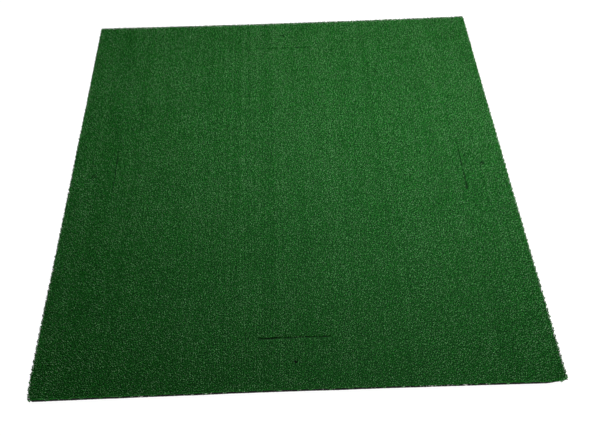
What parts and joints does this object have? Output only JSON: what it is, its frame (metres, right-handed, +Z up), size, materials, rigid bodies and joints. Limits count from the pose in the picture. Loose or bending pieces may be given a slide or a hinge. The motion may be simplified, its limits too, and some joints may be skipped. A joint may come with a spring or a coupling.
{
  "type": "golf hitting mat",
  "caption": "Square golf hitting mat: green tufted turf bonded to a dark foam pad, with a slit and a hole for a rubber tee at the middle of each side.",
  "frame": {"origin": "middle of the mat's underside, on the floor", "axes": "+Z up through the mat's thickness, +X and +Y along its sides, -Y the side nearest the golfer"},
  "size_m": [1.524, 1.524, 0.0318],
  "materials": {
    "turf": "matte nylon yarn, grass green",
    "woven_backing": "woven tape, black",
    "coating": "matte latex coating, black",
    "adhesive": "dried contact adhesive, dark",
    "foam": "matte closed-cell foam, black"
  },
  "bodies": {
    "root": {"foam_pad": "foam", "adhesive_film": "adhesive", "backing_coat": "coating", "primary_backing": "woven_backing", "turf_pile": "turf"}
  },
  "joints": []
}
